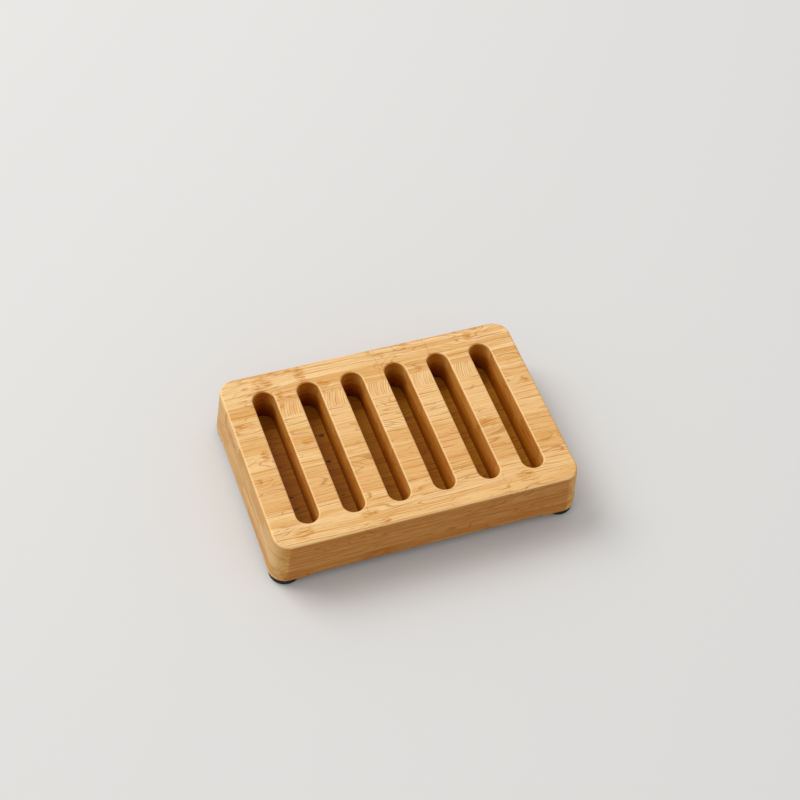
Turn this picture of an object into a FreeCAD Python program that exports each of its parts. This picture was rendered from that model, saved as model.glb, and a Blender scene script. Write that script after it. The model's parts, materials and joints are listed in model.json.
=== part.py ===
# Soap dish: a laminated bamboo block with six drain slots, standing on four rubber feet.
# X runs along the long side, Y from front to back, Z up. The feet stand on Z = 0.
import FreeCAD, Part
import os

Vector = FreeCAD.Vector

# Bamboo block
block_length = 120.0      # along X, at the foot of the block
block_depth = 80.0        # along Y
end_lean = 1.6            # how far each end face leans inward between foot and top
corner_radius = 6.4
top_round = 1.0           # round-over along the upper outer edge
bottom_round = 0.6        # round-over along the lower outer edge

# Plies, each made of strips of equal width that are named from front to back
top_ply = 7.2
core_ply = 7.2
base_ply = 6.1            # measured at the corner pads
top_strips = ["front", "front_middle", "centre", "rear_middle", "rear"]
core_strips = ["front", "front_inner", "rear_inner", "rear"]
base_strips = ["front", "front_middle", "centre", "rear_middle", "rear"]

# Drain slots, milled through the top and core plies
slot_count = 6
slot_pitch = 17.4
slot_width = 8.4
slot_length = 62.5
slot_rim_round = 0.7

# Underside
relief_depth = 1.5        # milled away between the corner pads
pad_length = 15.0         # along X, from the end of the block
pad_depth = 12.0          # along Y, from the front or back of the block

# Rubber feet and the adhesive discs above them
foot_inset = 0.3          # from the rounded corner of the block to the edge of the foot
foot_height = 2.4
foot_round = 0.5
adhesive_margin = 0.1     # from the edge of the pad's flat underside to the edge of the disc
adhesive_thickness = 0.3

# Levels, radii and places that follow from the sizes above
wood_bottom = foot_height + adhesive_thickness
floor_level = wood_bottom + base_ply
core_top = floor_level + core_ply
wood_top = core_top + top_ply
foot_radius = corner_radius - foot_inset
adhesive_radius = corner_radius - bottom_round - adhesive_margin
foot_x = block_length / 2 - corner_radius
foot_y = block_depth / 2 - corner_radius
first_slot = -slot_pitch * (slot_count - 1) / 2
slot_places = [first_slot + i * slot_pitch for i in range(slot_count)]
overrun = 5.0             # how far a cutting solid runs past the face that it cuts


def edges_joining(shape, low, high):
    """Edges with one end on each of two levels, or with both ends on one level."""
    wanted = {round(low, 6), round(high, 6)}
    return [edge for edge in shape.Edges if {round(end.Z, 6) for end in edge.Vertexes} == wanted]


def plain_block():
    """The block with leaning ends, rounded corners and eased outer edges."""
    low = block_length / 2
    high = low - end_lean
    front = -block_depth / 2
    front_view = [
        Vector(-low, front, wood_bottom),
        Vector(low, front, wood_bottom),
        Vector(high, front, wood_top),
        Vector(-high, front, wood_top),
    ]
    front_face = Part.Face(Part.makePolygon(front_view + front_view[:1]))
    block = front_face.extrude(Vector(0, block_depth, 0))
    block = block.makeFillet(corner_radius, edges_joining(block, wood_bottom, wood_top))
    block = block.makeFillet(top_round, edges_joining(block, wood_top, wood_top))
    return block.makeFillet(bottom_round, edges_joining(block, wood_bottom, wood_bottom))


def slot_cutter(x):
    """A round-ended slot from the slot floor to above the block."""
    radius = slot_width / 2
    straight = slot_length / 2 - radius
    right_back = Vector(x + radius, straight, floor_level)
    back_tip = Vector(x, straight + radius, floor_level)
    left_back = Vector(x - radius, straight, floor_level)
    left_front = Vector(x - radius, -straight, floor_level)
    front_tip = Vector(x, -straight - radius, floor_level)
    right_front = Vector(x + radius, -straight, floor_level)
    outline = Part.Wire([
        Part.Arc(right_back, back_tip, left_back).toShape(),
        Part.LineSegment(left_back, left_front).toShape(),
        Part.Arc(left_front, front_tip, right_front).toShape(),
        Part.LineSegment(right_front, right_back).toShape(),
    ])
    return Part.Face(outline).extrude(Vector(0, 0, wood_top - floor_level + overrun))


def slotted_block(block):
    """Mills the slots and eases their rims, which are the inner outlines of the top face."""
    block = block.cut([slot_cutter(x) for x in slot_places])
    top_face = max(block.Faces, key=lambda face: face.CenterOfMass.z)
    rims = [wire for wire in top_face.Wires if not wire.isSame(top_face.OuterWire)]
    return block.makeFillet(slot_rim_round, [edge for rim in rims for edge in rim.Edges])


def relief_cutter(length, depth):
    corner = Vector(-length / 2, -depth / 2, wood_bottom - overrun)
    return Part.makeBox(length, depth, relief_depth + overrun, corner)


def relieved_block(block):
    """Mills the underside between the corner pads, out through all four sides."""
    across = relief_cutter(block_length + 2 * overrun, block_depth - 2 * pad_depth)
    along = relief_cutter(block_length - 2 * pad_length, block_depth + 2 * overrun)
    return block.cut([across, along])


def ply_strips(block, names, bottom, top):
    """Parts one ply of the block into its strips, as pairs of a name and a shape."""
    width = block_depth / len(names)
    strips = []
    for i, name in enumerate(names):
        corner = Vector(-block_length / 2 - overrun, -block_depth / 2 + i * width, bottom)
        strip_space = Part.makeBox(block_length + 2 * overrun, width, top - bottom, corner)
        strips.append((name, block.common(strip_space).removeSplitter()))
    return strips


def rubber_foot(x, y):
    foot = Part.makeCylinder(foot_radius, foot_height, Vector(x, y, 0))
    return foot.makeFillet(foot_round, edges_joining(foot, 0, 0))


def adhesive_disc(x, y):
    return Part.makeCylinder(adhesive_radius, adhesive_thickness, Vector(x, y, foot_height))


def write_part(name, shape):
    shape.exportStep("parts/" + name + ".step")
    print(name, len(shape.Solids), "solids", round(shape.Volume, 1), "mm3")


os.makedirs("parts", exist_ok=True)

dish = relieved_block(slotted_block(plain_block()))
plies = [
    ("top_ply", ply_strips(dish, top_strips, core_top, wood_top)),
    ("core_ply", ply_strips(dish, core_strips, floor_level, core_top)),
    ("base_ply", ply_strips(dish, base_strips, wood_bottom, floor_level)),
]
for ply_name, strips in plies:
    for strip_name, strip in strips:
        write_part(ply_name + "_" + strip_name + "_strip", strip)

foot_places = [("front_left", -1, -1), ("front_right", 1, -1), ("rear_left", -1, 1), ("rear_right", 1, 1)]
for place, side, end in foot_places:
    write_part(place + "_foot", rubber_foot(side * foot_x, end * foot_y))
    write_part(place + "_adhesive_disc", adhesive_disc(side * foot_x, end * foot_y))
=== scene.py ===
# Soap dish: a slotted block of laminated bamboo on four rubber feet
import json
from math import cos, pi, radians, sin
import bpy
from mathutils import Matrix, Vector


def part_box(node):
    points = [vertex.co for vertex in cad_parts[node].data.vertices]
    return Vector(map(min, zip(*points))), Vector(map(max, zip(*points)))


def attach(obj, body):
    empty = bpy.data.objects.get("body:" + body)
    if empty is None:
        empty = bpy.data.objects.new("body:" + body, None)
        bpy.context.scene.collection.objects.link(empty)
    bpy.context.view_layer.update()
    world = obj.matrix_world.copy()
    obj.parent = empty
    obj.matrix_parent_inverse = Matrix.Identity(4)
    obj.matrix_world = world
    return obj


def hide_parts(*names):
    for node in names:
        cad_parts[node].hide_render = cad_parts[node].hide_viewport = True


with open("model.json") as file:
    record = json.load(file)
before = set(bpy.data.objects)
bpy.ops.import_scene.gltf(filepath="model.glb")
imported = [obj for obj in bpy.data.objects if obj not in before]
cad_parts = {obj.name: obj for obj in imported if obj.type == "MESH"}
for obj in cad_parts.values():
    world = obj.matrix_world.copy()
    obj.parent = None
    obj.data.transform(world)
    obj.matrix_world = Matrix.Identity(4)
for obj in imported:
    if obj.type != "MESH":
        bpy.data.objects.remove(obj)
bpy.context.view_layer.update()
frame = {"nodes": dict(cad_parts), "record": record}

from types import SimpleNamespace

import bmesh
import bpy
from mathutils import Matrix, Vector

perMetre = 1000.0  # the finishes are drawn in millimetres
print("frame loaded:", len(frame["nodes"]), "nodes")

# Levels and places of the block, in millimetres, read from the frame
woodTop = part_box("top_ply_centre_strip")[1].z * perMetre
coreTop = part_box("top_ply_centre_strip")[0].z * perMetre
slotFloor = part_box("core_ply_front_strip")[0].z * perMetre
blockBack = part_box("top_ply_rear_strip")[1].y * perMetre
slotBoxes = [box["box_m"] for box in frame["record"]["physics"]["openings"]]
slotReachX = max(abs(corner[0]) for box in slotBoxes for corner in box) * perMetre
slotReachY = max(abs(corner[1]) for box in slotBoxes for corner in box) * perMetre


def tint(hexCode):
    # a colour written as on screen, turned into the linear light that shaders take
    shares = [int(hexCode[i:i + 2], 16) / 255 for i in (1, 3, 5)]
    linear = [c / 12.92 if c <= 0.04045 else ((c + 0.055) / 1.055) ** 2.4 for c in shares]
    return (*linear, 1.0)


def mixTint(first, second, share):
    return tuple(a + (b - a) * share for a, b in zip(first, second))


# Small helpers that wire nodes, for shaders and for geometry
def feed(tree, socket, value):
    if isinstance(value, bpy.types.NodeSocket):
        tree.links.new(value, socket)
    else:
        socket.default_value = value


def addNode(tree, kind, inputs=None, **settings):
    node = tree.nodes.new(kind)
    for name, value in settings.items():
        setattr(node, name, value)
    for key, value in (inputs or {}).items():
        feed(tree, node.inputs[key], value)
    return node


def calc(tree, operation, first, second=0.0, third=0.0, clamp=False):
    values = {0: first, 1: second, 2: third}
    return addNode(tree, "ShaderNodeMath", values, operation=operation, use_clamp=clamp).outputs[0]


def smooth(tree, value, low, high):
    # 0 below low and 1 above high, with a soft change between them; low may be the higher one
    settings = {"Value": value, "From Min": low, "From Max": high}
    return addNode(tree, "ShaderNodeMapRange", settings, interpolation_type="SMOOTHSTEP").outputs[0]


def blend(tree, share, under, over, how="MIX"):
    return addNode(
        tree, "ShaderNodeMix", {0: share, 6: under, 7: over}, data_type="RGBA", blend_type=how
    ).outputs[2]


def between(tree, share, under, over):
    return addNode(tree, "ShaderNodeMix", {0: share, 2: under, 3: over}, data_type="FLOAT").outputs[0]


def split(tree, vector):
    return addNode(tree, "ShaderNodeSeparateXYZ", {0: vector}).outputs


def join(tree, x, y, z):
    return addNode(tree, "ShaderNodeCombineXYZ", {0: x, 1: y, 2: z}).outputs[0]


def vectorCalc(tree, operation, first, second, third=(0.0, 0.0, 0.0)):
    values = {0: first, 1: second, 2: third}
    return addNode(tree, "ShaderNodeVectorMath", values, operation=operation).outputs[0]


def stretched(tree, place, perMillimetre):
    return vectorCalc(tree, "MULTIPLY", place, perMillimetre)


def objectPlace(tree):
    # where a point lies on the object, in millimetres, and which way it faces
    coords = addNode(tree, "ShaderNodeTexCoord").outputs
    return stretched(tree, coords["Object"], (perMetre, perMetre, perMetre)), coords["Normal"]


def cloud(tree, place, perMillimetre, detail=2.0, rough=0.5):
    settings = {
        "Vector": stretched(tree, place, perMillimetre),
        "Scale": 1.0,
        "Detail": detail,
        "Roughness": rough,
    }
    return addNode(tree, "ShaderNodeTexNoise", settings).outputs[0]


def newGroup(name, inputs, outputs):
    group = bpy.data.node_groups.new(name, "ShaderNodeTree")
    for label, kind in inputs:
        group.interface.new_socket(label, in_out="INPUT", socket_type="NodeSocket" + kind)
    for label, kind in outputs:
        group.interface.new_socket(label, in_out="OUTPUT", socket_type="NodeSocket" + kind)
    return group, group.nodes.new("NodeGroupInput").outputs, group.nodes.new("NodeGroupOutput").inputs


def putGroup(tree, group, inputs):
    return addNode(tree, "ShaderNodeGroup", inputs, node_tree=group).outputs


def newMaterial(name):
    material = bpy.data.materials.new(name)
    material.use_nodes = True
    material.node_tree.nodes.clear()
    return material, material.node_tree


def finishMaterial(tree, shader):
    addNode(tree, "ShaderNodeOutputMaterial", {"Surface": shader.outputs[0]})


# Fibre: bands, streaks, fine and bold lines, a curly figure and short flecks, all along the first axis
fibreLook = {
    "bandStretch": (0.007, 0.24, 0.24),
    "bandLevels": (0.26, 0.74),
    "streakStretch": (0.10, 1.5, 1.5),
    "streakLevels": (0.30, 0.70),
    "fineSpacing": 0.95,
    "fineWidth": 0.20,
    "fineBreakStretch": (0.075, 1.0, 1.0),
    "boldSpacing": 2.7,
    "boldWidth": 0.11,
    "boldBreakStretch": (0.055, 0.45, 0.45),
    "breakLevels": (0.42, 0.58),
    "figureStretch": (0.045, 0.20, 0.20),
    "figureLines": 10.0,
    "figureLevels": (0.16, 0.02),
    "gateStretch": (0.050, 0.16, 0.16),
    "gateLevels": (0.46, 0.62),
    "fleckStretch": (0.35, 2.2, 2.2),
    "fleckLevels": (0.32, 0.10),
    "wanderStretch": (0.018, 0.040, 0.040),
    "wanderBy": 2.2,
    "rippleStretch": (0.09, 0.28, 0.28),
    "rippleBy": 0.6,
    "seedStep": (173.0, 31.0, 17.0),
}


def makeFibreGroup():
    look = fibreLook
    group, given, result = newGroup(
        "bamboo fibre",
        [("Place", "Vector"), ("Seed", "Float")],
        [(name, "Float") for name in ("Bands", "Streaks", "Rows", "Fine", "Bold", "Figure", "Flecks")],
    )
    seeds = join(group, given["Seed"], given["Seed"], given["Seed"])
    place = vectorCalc(group, "MULTIPLY_ADD", seeds, look["seedStep"], given["Place"])
    wander = cloud(group, place, look["wanderStretch"], detail=1.0)
    ripple = cloud(group, place, look["rippleStretch"])
    middle = -(look["wanderBy"] + look["rippleBy"]) / 2
    drift = calc(group, "MULTIPLY_ADD", ripple, look["rippleBy"], middle)
    drift = calc(group, "MULTIPLY_ADD", wander, look["wanderBy"], drift)
    place = vectorCalc(group, "ADD", place, join(group, 0.0, drift, drift))

    bands = cloud(group, place, look["bandStretch"], detail=3.0, rough=0.55)
    feed(group, result["Bands"], smooth(group, bands, *look["bandLevels"]))
    streaks = cloud(group, place, look["streakStretch"], rough=0.6)
    feed(group, result["Streaks"], smooth(group, streaks, *look["streakLevels"]))

    # fine lines a steady distance apart and bold ones further apart, all broken along the fibre
    _, second, third = split(group, place)
    height = calc(group, "ADD", second, third)
    for kind in ("fine", "bold"):
        fromRow = calc(group, "PINGPONG", calc(group, "DIVIDE", height, look[kind + "Spacing"]), 0.5)
        row = smooth(group, fromRow, look[kind + "Width"], look[kind + "Width"] / 4)
        breaks = cloud(group, place, look[kind + "BreakStretch"])
        unbroken = smooth(group, breaks, *look["breakLevels"])
        feed(group, result[kind.capitalize()], calc(group, "MULTIPLY", row, unbroken))
        if kind == "fine":
            feed(group, result["Rows"], row)

    # level lines of a slow swell, which close in whorls
    swell = cloud(group, place, look["figureStretch"], detail=1.0, rough=0.4)
    fromLine = calc(group, "PINGPONG", calc(group, "MULTIPLY", swell, look["figureLines"]), 0.5)
    figure = smooth(group, fromLine, *look["figureLevels"])
    gate = smooth(group, cloud(group, place, look["gateStretch"]), *look["gateLevels"])
    feed(group, result["Figure"], calc(group, "MULTIPLY", figure, gate))

    cells = addNode(
        group, "ShaderNodeTexVoronoi",
        {"Vector": stretched(group, place, look["fleckStretch"]), "Scale": 1.0}
    ).outputs["Distance"]
    feed(group, result["Flecks"], smooth(group, cells, *look["fleckLevels"]))
    return group


# Knuckle: the mark of a bamboo joint, a thin broken line that wanders across a strip
knuckleLook = {
    "lineLevels": (0.32, 0.05),
    "wanderStretch": (0.03, 0.22, 0.22),
    "wanderBy": 5.0,
    "breakStretch": (0.3, 0.5, 0.5),
    "breakLevels": (0.40, 0.58),
}


def makeKnuckleGroup():
    look = knuckleLook
    group, given, result = newGroup(
        "bamboo knuckle", [("Place", "Vector"), ("Centre", "Float")], [("Line", "Float")]
    )
    wander = cloud(group, given["Place"], look["wanderStretch"], detail=3.0, rough=0.6)
    drift = calc(group, "MULTIPLY_ADD", wander, look["wanderBy"], -look["wanderBy"] / 2)
    away = calc(group, "SUBTRACT", split(group, given["Place"])[0], given["Centre"])
    away = calc(group, "ABSOLUTE", calc(group, "ADD", away, drift))
    line = smooth(group, away, *look["lineLevels"])
    breaks = cloud(group, given["Place"], look["breakStretch"], detail=1.0)
    unbroken = smooth(group, breaks, *look["breakLevels"])
    feed(group, result["Line"], calc(group, "MULTIPLY", line, unbroken))
    return group


# Stain: an orange patch with a ragged edge, broken into dashes along the fibre
stainLook = {
    "raggedStretch": (0.25, 0.5, 0.5),
    "raggedDetail": 3.0,
    "raggedBy": 1.3,
    "edgeLevels": (1.0, 0.4),
    "dashStretch": (0.22, 2.2, 2.2),
    "dashLevels": (0.46, 0.56),
    "betweenDashes": 0.20,
}


def newPatchGroup(name, output):
    return newGroup(
        name, [("Place", "Vector"), ("Centre", "Vector"), ("Per Reach", "Vector")], [(output, "Float")]
    )


def raggedPatch(group, given, look):
    # 1 near the centre and 0 beyond its reach, with an uneven edge between them
    away = vectorCalc(group, "SUBTRACT", given["Place"], given["Centre"])
    reach = addNode(
        group, "ShaderNodeVectorMath", {0: stretched(group, away, given["Per Reach"])}, operation="LENGTH"
    ).outputs["Value"]
    ragged = cloud(group, given["Place"], look["raggedStretch"], detail=look["raggedDetail"])
    reach = calc(group, "MULTIPLY_ADD", ragged, look["raggedBy"], reach)
    outer, inner = [level + look["raggedBy"] / 2 for level in look["edgeLevels"]]
    return smooth(group, reach, outer, inner)


def makeStainGroup():
    look = stainLook
    group, given, result = newPatchGroup("bamboo stain", "Stain")
    dashes = cloud(group, given["Place"], look["dashStretch"], detail=1.0)
    dashes = smooth(group, dashes, *look["dashLevels"])
    dashes = calc(group, "MULTIPLY_ADD", dashes, 1.0 - look["betweenDashes"], look["betweenDashes"])
    feed(group, result["Stain"], calc(group, "MULTIPLY", raggedPatch(group, given, look), dashes))
    return group


# Pin knot: a small dark fleck on the floor of a slot
pinKnotLook = {
    "raggedStretch": (0.9, 1.6, 1.6),
    "raggedDetail": 2.0,
    "raggedBy": 0.9,
    "edgeLevels": (1.0, 0.3),
}


def makePinKnotGroup():
    group, given, result = newPatchGroup("pin knot", "Knot")
    feed(group, result["Knot"], raggedPatch(group, given, pinKnotLook))
    return group


# Painted highlight: a pale line painted on the round-over where it turns to the left, or to the front along
# the front edge
paintedHighlightLook = {
    "turnLevels": (0.99, 0.90),  # upward part of the normal where the round-over begins
    "steepLevels": (0.35, 0.70),  # and where it ends
    "fallLevels": (1.4, 0.9),  # millimetres below the top
    "frontDepth": 2.0,
    "sunlitLevels": (-0.05, -0.40),
}


def makePaintedHighlightGroup():
    look = paintedHighlightLook
    group, given, result = newGroup(
        "painted edge highlight", [("Place", "Vector"), ("Normal", "Vector")], [("Edge", "Float")]
    )
    right, back, up = split(group, given["Normal"])
    _, y, z = split(group, given["Place"])
    begun = smooth(group, up, *look["turnLevels"])
    turned = calc(group, "MULTIPLY", begun, smooth(group, up, *look["steepLevels"]))
    high = smooth(group, z, *[woodTop - fall for fall in look["fallLevels"]])
    frontEdge = calc(group, "LESS_THAN", y, look["frontDepth"] - blockBack)
    toFront = calc(group, "MULTIPLY", back, frontEdge)
    sunlit = smooth(group, calc(group, "MINIMUM", right, toFront), *look["sunlitLevels"])
    feed(group, result["Edge"], calc(group, "MULTIPLY", calc(group, "MULTIPLY", turned, high), sunlit))
    return group


# Slot depth: inside is 1 below a slot's eased rim, and depth grows from 0 under it to 1 on the floor
slotLook = {
    "pastBox": 5.0,  # from an opening's box to past the end of its slot
    "underFloor": 0.5,
    "rim": 0.7,
    "rimBlur": 0.15,
    "fadeFrom": 4.2,
    "fadePower": 1.5,
    "tilt": -0.0033,  # how much less painted shade the floors take per millimetre to the right
    "wallFoot": 0.75,  # how much of the round ends' painted shade the foot of a straight wall takes
}


def makeSlotDepthGroup():
    look = slotLook
    group, given, result = newGroup(
        "slot depth", [("Place", "Vector")], [("Inside", "Float"), ("Depth", "Float")]
    )
    x, y, z = split(group, given["Place"])
    inX = calc(group, "LESS_THAN", calc(group, "ABSOLUTE", x), slotReachX + look["pastBox"])
    inY = calc(group, "LESS_THAN", calc(group, "ABSOLUTE", y), slotReachY + look["pastBox"])
    above = calc(group, "GREATER_THAN", z, slotFloor - look["underFloor"])
    field = calc(group, "MULTIPLY", calc(group, "MULTIPLY", inX, inY), above)
    rimFoot = woodTop - look["rim"]
    below = smooth(group, z, rimFoot + look["rimBlur"], rimFoot - look["rimBlur"])
    feed(group, result["Inside"], calc(group, "MULTIPLY", field, below))
    fall = addNode(
        group, "ShaderNodeMapRange",
        {"Value": z, "From Min": woodTop - look["fadeFrom"], "From Max": slotFloor}
    ).outputs[0]
    fall = calc(group, "POWER", fall, look["fadePower"])
    feed(group, result["Depth"], calc(group, "MULTIPLY", field, fall))
    return group


# Glue lines: thin dark seams between the strips of a ply and, on upright faces, between the plies
glueLook = {"stripLevels": (0.22, 0.06), "plyLevels": (0.26, 0.08), "uprightLevels": (0.8, 0.5)}


def makeGlueGroup():
    look = glueLook
    group, given, result = newGroup(
        "glue lines",
        [("Place", "Vector"), ("Normal", "Vector"), ("Strip Width", "Float")],
        [("Seam", "Float")],
    )
    _, y, z = split(group, given["Place"])
    fromBack = calc(group, "SUBTRACT", blockBack, y)
    strips = calc(group, "DIVIDE", fromBack, given["Strip Width"])
    nearest = calc(group, "SUBTRACT", strips, calc(group, "ROUND", strips))
    gap = calc(group, "MULTIPLY", calc(group, "ABSOLUTE", nearest), given["Strip Width"])
    stripSeam = smooth(group, gap, *look["stripLevels"])
    upper, lower = [
        smooth(group, calc(group, "ABSOLUTE", calc(group, "SUBTRACT", z, level)), *look["plyLevels"])
        for level in (coreTop, slotFloor)
    ]
    up = calc(group, "ABSOLUTE", split(group, given["Normal"])[2])
    upright = smooth(group, up, *look["uprightLevels"])
    plySeam = calc(group, "MULTIPLY", calc(group, "MAXIMUM", upper, lower), upright)
    feed(group, result["Seam"], calc(group, "MAXIMUM", stripSeam, plySeam))
    return group


fibreGroup = makeFibreGroup()
knuckleGroup = makeKnuckleGroup()
stainGroup = makeStainGroup()
pinKnotGroup = makePinKnotGroup()
paintedHighlightGroup = makePaintedHighlightGroup()
slotDepthGroup = makeSlotDepthGroup()
glueGroup = makeGlueGroup()
print("finish groups made")

# Bamboo strips
bambooColours = {
    "pale": tint("#FAD69E"),
    "honey": tint("#F4C98A"),
    "amber": tint("#E0A75E"),
    "line": tint("#B0641A"),
    "fleck": tint("#A87030"),
    "stain": tint("#C8822F"),
    "knot": tint("#5E330E"),
    # pale colour of the painted highlight on the eased edges
    "edge": tint("#FFDCA4"),
}
bambooMarks = {  # how far each mark takes the colour to its own
    "streaks": 0.35,
    "fine": 0.36,
    "bold": 0.56,
    "figure": 0.55,
    "flecks": 0.22,
    "stain": 0.95,
    "knuckle": 0.5,
    "knot": 0.85,
    "seam": 0.35,
    "seamInSlot": 0.35,
    # edge is the share of the painted highlight on the eased edges
    "edge": 0.45,
}
bambooFaces = {  # how much stronger the marks are than on the flat top
    "end": -0.5,
    "corner": -0.8,
    "side": 1.1,
    "crossLaid": 0.9,
    "endLevels": (0.50, 0.85),
}
# painted shade for each kind of face: what it keeps of red, green and blue
bambooPaintedShades = {  # what each kind of face keeps of red, green and blue
    "side": (1.0, 0.84, 0.53),
    "end": (0.98, 0.93, 0.83),
    "slotEnd": (0.60, 0.35, 0.06),
    "slotWall": (0.88, 0.67, 0.33),
    "slotFloor": (0.54, 0.34, 0.008),
}
bambooShine = {
    "roughness": 0.45,
    "grooveRoughness": 0.15,
    "specular": 0.22,
    "boldGroove": 0.6,
    "fleckGroove": 0.4,
    "bumpStrength": 0.6,
    "bumpDepth": 0.00004,
}
# tones run from -1, amber, to 1, pale; knuckles are places along X
# stains and pin knots have their middle in X and Y, then half their length and half their width
bambooStrips = {
    "top_ply_rear_strip": {
        "seed": 1,
        "tone": 0.55,
        "amberBand": {
            "middle": 25.2,
            "slope": 0.0,
            "unevenBy": 0.6,
            "halfLevels": (2.2, 0.7),
            "share": 0.9,
        },
        "knuckles": (-27.0, 3.0, 11.0, 24.0),
        "stains": (
            (-42.5, 35.0, 5.0, 5.5),
            (-34.0, 38.3, 6.5, 1.3),
            (-27.0, 35.5, 3.0, 4.5),
            (-37.0, 28.0, 2.0, 2.5),
            (-20.0, 28.5, 3.5, 2.2),
            (1.5, 38.2, 1.6, 1.6),
            (16.0, 38.6, 2.5, 1.2),
            (41.5, 36.0, 2.4, 4.0),
            (46.0, 39.0, 5.0, 1.2),
        ),
    },
    "top_ply_rear_middle_strip": {
        "seed": 2,
        "tone": -0.15,
        "crossGrain": {
            "front": 17.2,
            "blur": 0.2,
            "reach": 40.0,
            "bow": -0.03,
            "ground": 0.5,
            "groundBy": 0.45,
            "faintest": 0.3,
        },
        "stains": ((-37.5, 22.5, 1.6, 2.0), (-54.0, 17.0, 5.0, 1.6), (55.0, 9.0, 3.5, 1.6)),
    },
    "top_ply_centre_strip": {
        "seed": 3,
        "tone": -0.15,
        "amberBand": {
            "middle": -2.6,
            "slope": -0.15,
            "unevenBy": 3.0,
            "halfLevels": (5.4, 4.0),
            "share": 0.5,
        },
        "stains": ((-50.5, 2.0, 2.2, 3.0), (33.0, -6.5, 4.0, 3.0), (-33.0, 4.0, 4.0, 2.0)),
    },
    "top_ply_front_middle_strip": {"seed": 4, "tone": -0.6, "stains": ((52.0, -20.0, 4.0, 1.4),)},
    "top_ply_front_strip": {
        "seed": 5,
        "tone": -0.15,
        "knuckles": (-22.0, 30.0),
        "stains": (
            (-47.0, -35.0, 5.0, 3.0),
            (-22.0, -33.5, 4.5, 2.0),
            (-18.0, -38.0, 3.0, 1.6),
            (38.0, -33.0, 5.0, 2.0),
        ),
    },
    "core_ply_rear_strip": {"seed": 6, "tone": -0.1},
    "core_ply_rear_inner_strip": {"seed": 7, "tone": 0.0},
    "core_ply_front_inner_strip": {"seed": 8, "tone": 0.1},
    "core_ply_front_strip": {"seed": 9, "tone": 0.3},
    "base_ply_rear_strip": {"seed": 10, "tone": -0.2},
    "base_ply_rear_middle_strip": {"seed": 11, "tone": -0.2, "pinKnots": ((-23.9, 15.6, 1.5, 1.1),)},
    "base_ply_centre_strip": {"seed": 12, "tone": -0.3, "pinKnots": ((-25.2, 3.0, 1.3, 0.9),)},
    "base_ply_front_middle_strip": {
        "seed": 13,
        "tone": -0.1,
        "pinKnots": ((-43.6, -9.0, 1.5, 0.5), (-43.4, -14.7, 1.5, 0.45), (-24.8, -13.2, 1.2, 0.4)),
    },
    "base_ply_front_strip": {"seed": 14, "tone": 0.25, "stains": ((-20.0, -40.0, 8.0, 3.0),)},
}


def readFace(tree):
    # what the finish has to know of a point: its place, which way it faces and how deep in a slot it is
    place, normal = objectPlace(tree)
    x, y, z = split(tree, place)
    towardX, towardY = [calc(tree, "ABSOLUTE", part) for part in split(tree, normal)[:2]]
    slot = putGroup(tree, slotDepthGroup, {"Place": place})
    return SimpleNamespace(
        place=place,
        normal=normal,
        x=x,
        y=y,
        z=z,
        onEnd=smooth(tree, towardX, *bambooFaces["endLevels"]),
        facingX=calc(tree, "MULTIPLY", towardX, towardX),
        facingY=calc(tree, "MULTIPLY", towardY, towardY),
        inSlot=slot["Inside"],
        depth=slot["Depth"],
        clear=calc(tree, "SUBTRACT", 1.0, slot["Inside"]),
        # edge marks where the painted highlight lies
        edge=putGroup(tree, paintedHighlightGroup, {"Place": place, "Normal": normal})["Edge"],
    )


def placeCrossPatch(tree, face, patch):
    # where a cross-laid patch lies outside the slots, and places along X that follow the bow of its lines
    inY = smooth(tree, face.y, patch["front"] - patch["blur"], patch["front"] + patch["blur"])
    inX = calc(tree, "LESS_THAN", calc(tree, "ABSOLUTE", face.x), patch["reach"])
    fromFront = calc(tree, "SUBTRACT", face.y, patch["front"])
    bow = calc(tree, "MULTIPLY", calc(tree, "MULTIPLY", fromFront, fromFront), patch["bow"])
    patched = calc(tree, "MULTIPLY", calc(tree, "MULTIPLY", inX, inY), face.clear)
    return patched, calc(tree, "ADD", face.x, bow)


def drawCrossPatch(tree, fibres, across, patch):
    # a cross-laid patch has a ground of its own, and unbroken lines of uneven strength
    crossLaid = fibres["Cross Laid"]
    strength = calc(tree, "MULTIPLY_ADD", across["Streaks"], patch["faintest"] - 1.0, 1.0)
    rows = calc(tree, "MULTIPLY", across["Rows"], strength)
    fibres["Fine"] = between(tree, crossLaid, fibres["Fine"], rows)
    ground = calc(tree, "MULTIPLY_ADD", across["Bands"], patch["groundBy"], patch["ground"])
    fibres["Bands"] = between(tree, crossLaid, fibres["Bands"], ground)


def layFibres(tree, strip, face):
    # fibres run along X, but end faces, slot walls and cross-laid patches show them along Y
    crossLaid, bowedX = 0.0, face.x
    if "crossGrain" in strip:
        crossLaid, bowedX = placeCrossPatch(tree, face, strip["crossGrain"])
    turned = calc(tree, "MAXIMUM", face.onEnd, crossLaid)
    acrossPlace = join(tree, face.y, bowedX, face.z)
    along = putGroup(tree, fibreGroup, {"Place": face.place, "Seed": float(strip["seed"])})
    across = putGroup(tree, fibreGroup, {"Place": acrossPlace, "Seed": strip["seed"] + 0.5})
    fibres = {
        name: between(tree, turned, along[name], across[name])
        for name in ("Streaks", "Fine", "Bold", "Figure", "Flecks")
    }
    fibres["Bands"] = between(tree, face.onEnd, along["Bands"], across["Bands"])
    fibres["Cross Laid"] = crossLaid
    if "crossGrain" in strip:
        drawCrossPatch(tree, fibres, across, strip["crossGrain"])
    return fibres


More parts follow.
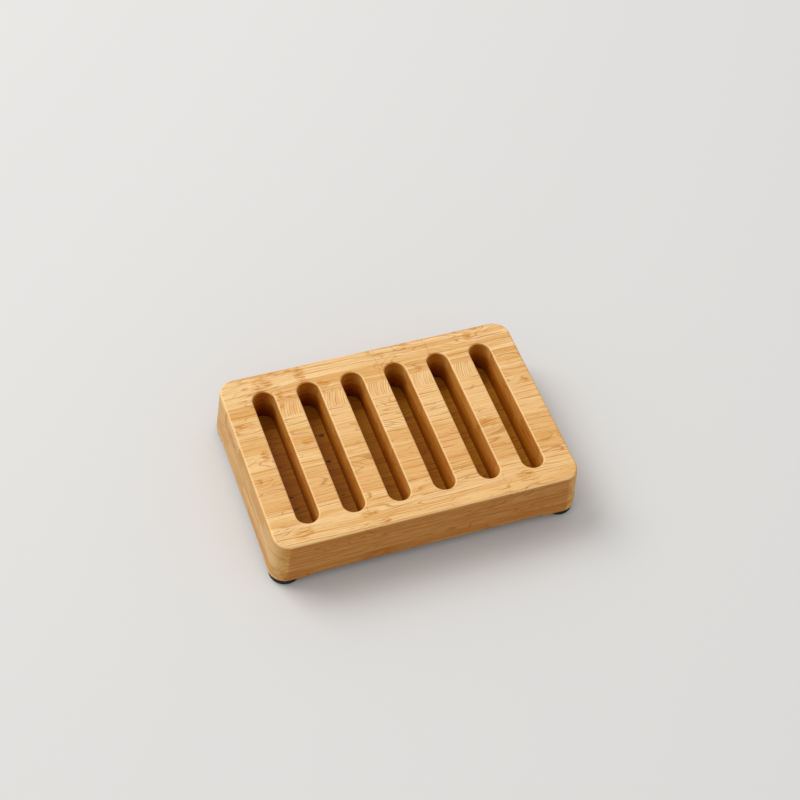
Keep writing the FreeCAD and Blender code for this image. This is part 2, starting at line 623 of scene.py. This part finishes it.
def groundColour(tree, strip, face, bands):
    colours = bambooColours
    toward = colours["pale"] if strip["tone"] > 0 else colours["amber"]
    honey, pale = [mixTint(colours[name], toward, abs(strip["tone"])) for name in ("honey", "pale")]
    colour = blend(tree, smooth(tree, bands, 0.0, 0.5), colours["amber"], honey)
    colour = blend(tree, smooth(tree, bands, 0.5, 1.0), colour, pale)
    if "amberBand" in strip:
        band = strip["amberBand"]
        middle = calc(tree, "MULTIPLY_ADD", face.x, band["slope"], band["middle"])
        away = calc(tree, "ABSOLUTE", calc(tree, "SUBTRACT", face.y, middle))
        uneven = calc(tree, "MULTIPLY_ADD", bands, band["unevenBy"], away)
        share = calc(tree, "MULTIPLY", smooth(tree, uneven, *band["halfLevels"]), band["share"])
        colour = blend(tree, share, colour, colours["amber"])
    return colour


def drawFibres(tree, colour, face, fibres):
    # a corner is 1 where a face looks halfway between X and Y
    # a cross-laid patch has stronger streaks and fine lines, and no other marks
    more = bambooFaces
    crossLaid = fibres["Cross Laid"]
    corner = calc(tree, "MULTIPLY", calc(tree, "MULTIPLY", face.facingX, face.facingY), 4.0)
    calm = calc(tree, "MULTIPLY_ADD", calc(tree, "MULTIPLY", face.onEnd, face.clear), more["end"], 1.0)
    calm = calc(tree, "MULTIPLY_ADD", corner, more["corner"], calm, clamp=True)
    lively = calc(tree, "MULTIPLY_ADD", face.facingY, more["side"], calm)
    liveliest = calc(tree, "MULTIPLY_ADD", crossLaid, more["crossLaid"], lively)
    plain = calc(tree, "SUBTRACT", calm, crossLaid, clamp=True)
    marks = (
        ("streaks", calc(tree, "SUBTRACT", 1.0, fibres["Streaks"]), liveliest, "amber"),
        ("fine", fibres["Fine"], liveliest, "line"),
        ("bold", fibres["Bold"], plain, "line"),
        ("figure", fibres["Figure"], plain, "line"),
        ("flecks", fibres["Flecks"], plain, "fleck"),
    )
    for name, mask, strength, colourName in marks:
        share = calc(tree, "MULTIPLY", calc(tree, "MULTIPLY", mask, strength), bambooMarks[name])
        colour = blend(tree, share, colour, bambooColours[colourName])
    return colour


def drawPlacedMarks(tree, colour, strip, face):
    colours, marks = bambooColours, bambooMarks
    for x, y, halfX, halfY in strip.get("stains", ()):
        shape = {"Centre": (x, y, 0.0), "Per Reach": (1 / halfX, 1 / halfY, 0.0)}
        stain = putGroup(tree, stainGroup, {"Place": face.place, **shape})["Stain"]
        colour = blend(tree, calc(tree, "MULTIPLY", stain, marks["stain"]), colour, colours["stain"])
    for centre in strip.get("knuckles", ()):
        line = putGroup(tree, knuckleGroup, {"Place": face.place, "Centre": centre})["Line"]
        share = calc(tree, "MULTIPLY", calc(tree, "MULTIPLY", line, face.clear), marks["knuckle"])
        colour = blend(tree, share, colour, colours["stain"])
    for x, y, halfX, halfY in strip.get("pinKnots", ()):
        shape = {"Centre": (x, y, slotFloor), "Per Reach": (1 / halfX, 1 / halfY, 1.0)}
        knot = putGroup(tree, pinKnotGroup, {"Place": face.place, **shape})["Knot"]
        colour = blend(tree, calc(tree, "MULTIPLY", knot, marks["knot"]), colour, colours["knot"])
    return colour


def drawSeamsAndHighlight(tree, colour, stripName, face):
    colours, marks = bambooColours, bambooMarks
    low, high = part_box(stripName)
    width = (high.y - low.y) * perMetre
    where = {"Place": face.place, "Normal": face.normal, "Strip Width": width}
    seam = putGroup(tree, glueGroup, where)["Seam"]
    share = calc(tree, "MULTIPLY_ADD", face.depth, marks["seamInSlot"], marks["seam"])
    colour = blend(tree, calc(tree, "MULTIPLY", seam, share), colour, colours["line"])
    # painted highlight on the eased edges that turn to the left, or to the front along the front edge
    return blend(tree, calc(tree, "MULTIPLY", face.edge, marks["edge"]), colour, colours["edge"])


def paintShade(tree, colour, face):
    # painted shade: the front and back faces darker, the faces towards X a little darker and warmer, and the
    # milled slots darkest, most at their round ends, the foot of their walls and their floors
    outside = calc(tree, "SUBTRACT", face.clear, face.edge, clamp=True)
    deeper = calc(tree, "MULTIPLY", face.inSlot, calc(tree, "ADD", face.depth, 1.0))
    wallFoot = calc(tree, "MULTIPLY", face.facingX, calc(tree, "MULTIPLY", face.depth, slotLook["wallFoot"]))
    floorTilt = calc(tree, "MULTIPLY_ADD", face.x, slotLook["tilt"], 1.0)
    amounts = {
        "side": calc(tree, "MULTIPLY", face.facingY, outside),
        "end": calc(tree, "MULTIPLY", face.facingX, face.clear),
        "slotEnd": calc(tree, "MULTIPLY_ADD", face.facingY, deeper, wallFoot),
        "slotWall": calc(tree, "MULTIPLY", face.facingX, face.inSlot),
        "slotFloor": calc(tree, "MULTIPLY", face.depth, floorTilt),
    }
    for name, amount in amounts.items():
        # the shade raised to the amount, channel by channel, so that blue fades before red
        shares = [calc(tree, "POWER", share, amount) for share in bambooPaintedShades[name]]
        colour = blend(tree, 1.0, colour, join(tree, *shares), "MULTIPLY")
    return colour


def makeBamboo(stripName, strip):
    material, tree = newMaterial("bamboo " + stripName)
    face = readFace(tree)
    fibres = layFibres(tree, strip, face)
    colour = groundColour(tree, strip, face, fibres["Bands"])
    colour = drawFibres(tree, colour, face, fibres)
    colour = drawPlacedMarks(tree, colour, strip, face)
    colour = drawSeamsAndHighlight(tree, colour, stripName, face)
    colour = paintShade(tree, colour, face)

    shine = bambooShine
    boldGrooves = calc(tree, "MULTIPLY", fibres["Bold"], shine["boldGroove"])
    grooves = calc(tree, "MULTIPLY_ADD", fibres["Flecks"], shine["fleckGroove"], boldGrooves)
    height = calc(tree, "SUBTRACT", 1.0, grooves)
    bump = addNode(
        tree, "ShaderNodeBump",
        {"Strength": shine["bumpStrength"], "Distance": shine["bumpDepth"], "Height": height}
    ).outputs[0]
    shader = addNode(
        tree, "ShaderNodeBsdfPrincipled",
        {
            "Base Color": colour,
            "Roughness": calc(tree, "MULTIPLY_ADD", grooves, shine["grooveRoughness"], shine["roughness"]),
            "Normal": bump,
            "Specular IOR Level": shine["specular"],
        }
    )
    finishMaterial(tree, shader)
    return material


for stripName, strip in bambooStrips.items():
    piece = frame["nodes"][stripName]
    piece.material_slots[0].material = makeBamboo(stripName, strip)
print("bamboo strips finished:", len(bambooStrips))

# Rubber feet: turned profile with a drafted side and concentric grip grooves underneath
rubberFoot = {
    "edgeRound": 0.0005,
    "rimRound": 0.0002,
    "draft": 0.04,
    "grooves": 4.0,
    "grooveDepth": 0.0004,
    "profileSteps": 160,
    "turnSteps": 72,
    "dark": tint("#121212"),
    "bloom": tint("#242322"),
    "bloomShare": 0.6,
    "bloomStretch": (0.35, 0.35, 0.35),
    "bloomLevels": (0.35, 0.75),
    "gritStretch": (6.0, 6.0, 6.0),
    "gritStrength": 0.4,
    "gritDepth": 0.00003,
    "roughness": 0.42,
    "bloomRoughness": 0.18,
    "specular": 0.45,
}


def makeRubber():
    look = rubberFoot
    material, tree = newMaterial("black rubber")
    place, _ = objectPlace(tree)
    bloom = smooth(tree, cloud(tree, place, look["bloomStretch"], detail=4.0), *look["bloomLevels"])
    grit = cloud(tree, place, look["gritStretch"])
    bloomShare = calc(tree, "MULTIPLY", bloom, look["bloomShare"])
    bump = addNode(
        tree, "ShaderNodeBump",
        {"Strength": look["gritStrength"], "Distance": look["gritDepth"], "Height": grit}
    ).outputs[0]
    shader = addNode(
        tree, "ShaderNodeBsdfPrincipled",
        {
            "Base Color": blend(tree, bloomShare, look["dark"], look["bloom"]),
            "Roughness": calc(tree, "MULTIPLY_ADD", bloom, look["bloomRoughness"], look["roughness"]),
            "Normal": bump,
            "Specular IOR Level": look["specular"],
        }
    )
    finishMaterial(tree, shader)
    return material


def makeFootTree(material):
    tree = bpy.data.node_groups.new("turned rubber foot", "GeometryNodeTree")
    for label in ("Radius", "Height", "Edge Round", "Rim Round", "Draft", "Grooves", "Groove Depth"):
        tree.interface.new_socket(label, in_out="INPUT", socket_type="NodeSocketFloat")
    for label in ("Profile Steps", "Turn Steps"):
        tree.interface.new_socket(label, in_out="INPUT", socket_type="NodeSocketInt")
    tree.interface.new_socket("Place", in_out="INPUT", socket_type="NodeSocketVector")
    tree.interface.new_socket("Foot", in_out="OUTPUT", socket_type="NodeSocketGeometry")
    given = tree.nodes.new("NodeGroupInput").outputs
    radius, height = given["Radius"], given["Height"]
    edge, rim = given["Edge Round"], given["Rim Round"]

    sheet = addNode(
        tree, "GeometryNodeMeshGrid",
        {
            "Size X": 1.0,
            "Size Y": 1.0,
            "Vertices X": given["Profile Steps"],
            "Vertices Y": given["Turn Steps"],
        }
    ).outputs[0]
    across, around, _ = split(tree, addNode(tree, "GeometryNodeInputPosition").outputs[0])

    # lengths of the profile: underside, lower round, side, upper round, top
    under = calc(tree, "SUBTRACT", radius, edge)
    lowerArc = calc(tree, "MULTIPLY", edge, pi / 2)
    side = calc(tree, "SUBTRACT", calc(tree, "SUBTRACT", height, edge), rim)
    upperArc = calc(tree, "MULTIPLY", rim, pi / 2)
    top = calc(tree, "SUBTRACT", radius, rim)
    stretches = [under, lowerArc, side, upperArc, top]
    whole = under
    for stretch in stretches[1:]:
        whole = calc(tree, "ADD", whole, stretch)
    gone = calc(tree, "MULTIPLY", calc(tree, "ADD", across, 0.5), whole)
    walked = []
    for stretch in stretches:
        part = calc(tree, "MINIMUM", calc(tree, "MAXIMUM", gone, 0.0), stretch)
        gone = calc(tree, "SUBTRACT", gone, stretch)
        walked.append(part)
    lowerTurn = calc(tree, "DIVIDE", walked[1], edge)
    upperTurn = calc(tree, "DIVIDE", walked[3], rim)

    out = calc(tree, "MULTIPLY_ADD", calc(tree, "SINE", lowerTurn), edge, walked[0])
    inward = calc(tree, "MULTIPLY", calc(tree, "SUBTRACT", 1.0, calc(tree, "COSINE", upperTurn)), rim)
    out = calc(tree, "SUBTRACT", calc(tree, "SUBTRACT", out, inward), walked[4])
    up = calc(tree, "MULTIPLY", calc(tree, "SUBTRACT", 1.0, calc(tree, "COSINE", lowerTurn)), edge)
    up = calc(tree, "ADD", up, walked[2])
    up = calc(tree, "MULTIPLY_ADD", calc(tree, "SINE", upperTurn), rim, up)
    taper = calc(tree, "SUBTRACT", 1.0, calc(tree, "DIVIDE", up, height))
    drafted = calc(tree, "SUBTRACT", 1.0, calc(tree, "MULTIPLY", taper, given["Draft"]))
    out = calc(tree, "MULTIPLY", out, drafted)

    rings = calc(tree, "DIVIDE", calc(tree, "MULTIPLY", walked[0], given["Grooves"]), under)
    wave = calc(tree, "COSINE", calc(tree, "MULTIPLY", rings, 2 * pi))
    groove = calc(tree, "MULTIPLY_ADD", wave, -0.5, 0.5)
    up = calc(tree, "MULTIPLY_ADD", groove, given["Groove Depth"], up)

    angle = calc(tree, "MULTIPLY", around, -2 * pi)
    turned = join(
        tree,
        calc(tree, "MULTIPLY", out, calc(tree, "COSINE", angle)),
        calc(tree, "MULTIPLY", out, calc(tree, "SINE", angle)),
        up,
    )
    turned = vectorCalc(tree, "ADD", turned, given["Place"])
    foot = addNode(tree, "GeometryNodeSetPosition", {"Geometry": sheet, "Position": turned}).outputs[0]
    foot = addNode(tree, "GeometryNodeMergeByDistance", {"Geometry": foot, "Distance": 1e-6}).outputs[0]
    foot = addNode(tree, "GeometryNodeSetShadeSmooth", {"Geometry": foot}).outputs[0]
    foot = addNode(tree, "GeometryNodeRealizeInstances", {"Geometry": foot}).outputs[0]
    foot = addNode(tree, "GeometryNodeSetMaterial", {"Geometry": foot, "Material": material}).outputs[0]
    feed(tree, tree.nodes.new("NodeGroupOutput").inputs[0], foot)
    return tree


def setInputs(modifier, values):
    for item in modifier.node_group.interface.items_tree:
        if item.in_out == "INPUT":
            modifier[item.identifier] = values[item.name]


def plainMesh(maker):
    # the evaluated shape of an object, as a mesh of its own with closed seams and outward faces
    maker.update_tag()
    bpy.context.view_layer.update()
    graph = bpy.context.evaluated_depsgraph_get()
    mesh = bpy.data.meshes.new_from_object(maker.evaluated_get(graph), depsgraph=graph)
    work = bmesh.new()
    work.from_mesh(mesh)
    bmesh.ops.remove_doubles(work, verts=work.verts, dist=1e-6)
    bmesh.ops.recalc_face_normals(work, faces=work.faces)
    work.to_mesh(mesh)
    work.free()
    return mesh


def makeFoot(corner, tree):
    low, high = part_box(corner + "_foot")
    centre = (low + high) / 2
    values = {
        "Radius": (high.x - low.x) / 2,
        "Height": high.z - low.z,
        "Edge Round": rubberFoot["edgeRound"],
        "Rim Round": rubberFoot["rimRound"],
        "Draft": rubberFoot["draft"],
        "Grooves": rubberFoot["grooves"],
        "Groove Depth": rubberFoot["grooveDepth"],
        "Profile Steps": rubberFoot["profileSteps"],
        "Turn Steps": rubberFoot["turnSteps"],
        "Place": (centre.x, centre.y, low.z),
    }
    maker = bpy.data.objects.new(corner + "_rubber_foot", bpy.data.meshes.new("foot blank"))
    bpy.context.scene.collection.objects.link(maker)
    modifier = maker.modifiers.new("turned foot", "NODES")
    modifier.node_group = tree
    setInputs(modifier, values)
    mesh = plainMesh(maker)
    maker.modifiers.remove(modifier)
    maker.data = mesh
    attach(maker, "root")
    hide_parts(corner + "_foot")
    return maker


corners = ("front_left", "front_right", "rear_left", "rear_right")
footTree = makeFootTree(makeRubber())
feet = [makeFoot(corner, footTree) for corner in corners]
print("rubber feet turned:", len(feet), "with", len(feet[0].data.polygons), "faces each")


# Adhesive discs: pale foam tape between the feet and the pads
foamDisc = {
    "light": tint("#D8D3C6"),
    "shade": tint("#C6BFAE"),
    "pore": tint("#A89F8C"),
    "mottleStretch": (0.8, 0.8, 0.8),
    "poresPerMillimetre": 5.0,
    "poreLevels": (0.35, 0.05),
    "poreStrength": 0.5,
    "poreDepth": 0.00003,
    "roughness": 0.85,
    "specular": 0.2,
}


def makeFoamTape():
    look = foamDisc
    material, tree = newMaterial("foam tape")
    place, _ = objectPlace(tree)
    cells = addNode(
        tree, "ShaderNodeTexVoronoi", {"Vector": place, "Scale": look["poresPerMillimetre"]}
    ).outputs["Distance"]
    mottle = cloud(tree, place, look["mottleStretch"], detail=3.0)
    colour = blend(tree, mottle, look["light"], look["shade"])
    colour = blend(tree, smooth(tree, cells, *look["poreLevels"]), colour, look["pore"])
    bump = addNode(
        tree, "ShaderNodeBump",
        {"Strength": look["poreStrength"], "Distance": look["poreDepth"], "Height": cells}
    ).outputs[0]
    shader = addNode(
        tree, "ShaderNodeBsdfPrincipled",
        {
            "Base Color": colour,
            "Roughness": look["roughness"],
            "Normal": bump,
            "Specular IOR Level": look["specular"],
        }
    )
    finishMaterial(tree, shader)
    return material


foamTape = makeFoamTape()
for corner in corners:
    disc = frame["nodes"][corner + "_adhesive_disc"]
    disc.material_slots[0].material = foamTape
print("adhesive discs finished:", len(corners))

# Floor and light
studio = {
    "floorSize": 6.0,
    "floorSeen": tint("#DEDDDB"),
    "floorBounce": tint("#ADABAD"),
    "skyLevel": 0.62,
    "keyPlace": (-1.0, 1.1, 1.7),
    "keySize": 1.4,
    "keyWatts": 30.8,
}


def makeFloor():
    half = studio["floorSize"] / 2
    mesh = bpy.data.meshes.new("floor")
    outline = [(-half, -half, 0), (half, -half, 0), (half, half, 0), (-half, half, 0)]
    mesh.from_pydata(outline, [], [(0, 1, 2, 3)])
    floor = bpy.data.objects.new("floor", mesh)
    bpy.context.scene.collection.objects.link(floor)
    material, tree = newMaterial("plain floor")
    seen = addNode(tree, "ShaderNodeLightPath").outputs["Is Camera Ray"]
    colour = blend(tree, seen, studio["floorBounce"], studio["floorSeen"])
    shader = addNode(
        tree, "ShaderNodeBsdfPrincipled",
        {"Base Color": colour, "Roughness": 0.9, "Specular IOR Level": 0.0}
    )
    clear = addNode(tree, "ShaderNodeBsdfTransparent")
    behind = addNode(tree, "ShaderNodeNewGeometry").outputs["Backfacing"]
    both = addNode(tree, "ShaderNodeMixShader", {0: behind, 1: shader.outputs[0], 2: clear.outputs[0]})
    finishMaterial(tree, both)
    mesh.materials.append(material)


def makeLight():
    world = bpy.data.worlds.new("studio air")
    bpy.context.scene.world = world
    world.use_nodes = True
    world.node_tree.nodes["Background"].inputs["Color"].default_value = (1.0, 1.0, 1.0, 1.0)
    world.node_tree.nodes["Background"].inputs["Strength"].default_value = studio["skyLevel"]
    lamp = bpy.data.lights.new("key", "AREA")
    lamp.size = studio["keySize"]
    lamp.energy = studio["keyWatts"]
    key = bpy.data.objects.new("key", lamp)
    key.location = studio["keyPlace"]
    key.rotation_euler = (-Vector(studio["keyPlace"])).to_track_quat("-Z", "Y").to_euler()
    bpy.context.scene.collection.objects.link(key)


makeFloor()
makeLight()
bpy.context.scene.view_settings.view_transform = "Standard"
print("floor and light placed")

# Camera, at the photograph's viewing angle
cameraView = {
    "yaw": 24.03,
    "pitch": 50.48,
    "roll": -5.98,
    "distance": 0.6714,
    "target": (0.00907, 0.02046, 0.01310),
    "lens": 78.62,
    "sensor": 36.0,
}


def makeCamera():
    yaw, pitch, roll = [radians(cameraView[name]) for name in ("yaw", "pitch", "roll")]
    forward = Vector((sin(yaw) * cos(pitch), cos(yaw) * cos(pitch), -sin(pitch)))
    right = Vector((cos(yaw), -sin(yaw), 0.0))
    down = forward.cross(right)
    turnedRight = right * cos(roll) + down * sin(roll)
    turnedDown = down * cos(roll) - right * sin(roll)
    data = bpy.data.cameras.new("camera")
    data.lens = cameraView["lens"]
    data.sensor_width = cameraView["sensor"]
    data.clip_start = 0.01
    camera = bpy.data.objects.new("camera", data)
    place = Vector(cameraView["target"]) - forward * cameraView["distance"]
    axes = Matrix((turnedRight, -turnedDown, -forward)).transposed()
    camera.matrix_world = Matrix.Translation(place) @ axes.to_4x4()
    bpy.context.scene.collection.objects.link(camera)
    bpy.context.scene.camera = camera


makeCamera()
print("camera placed")
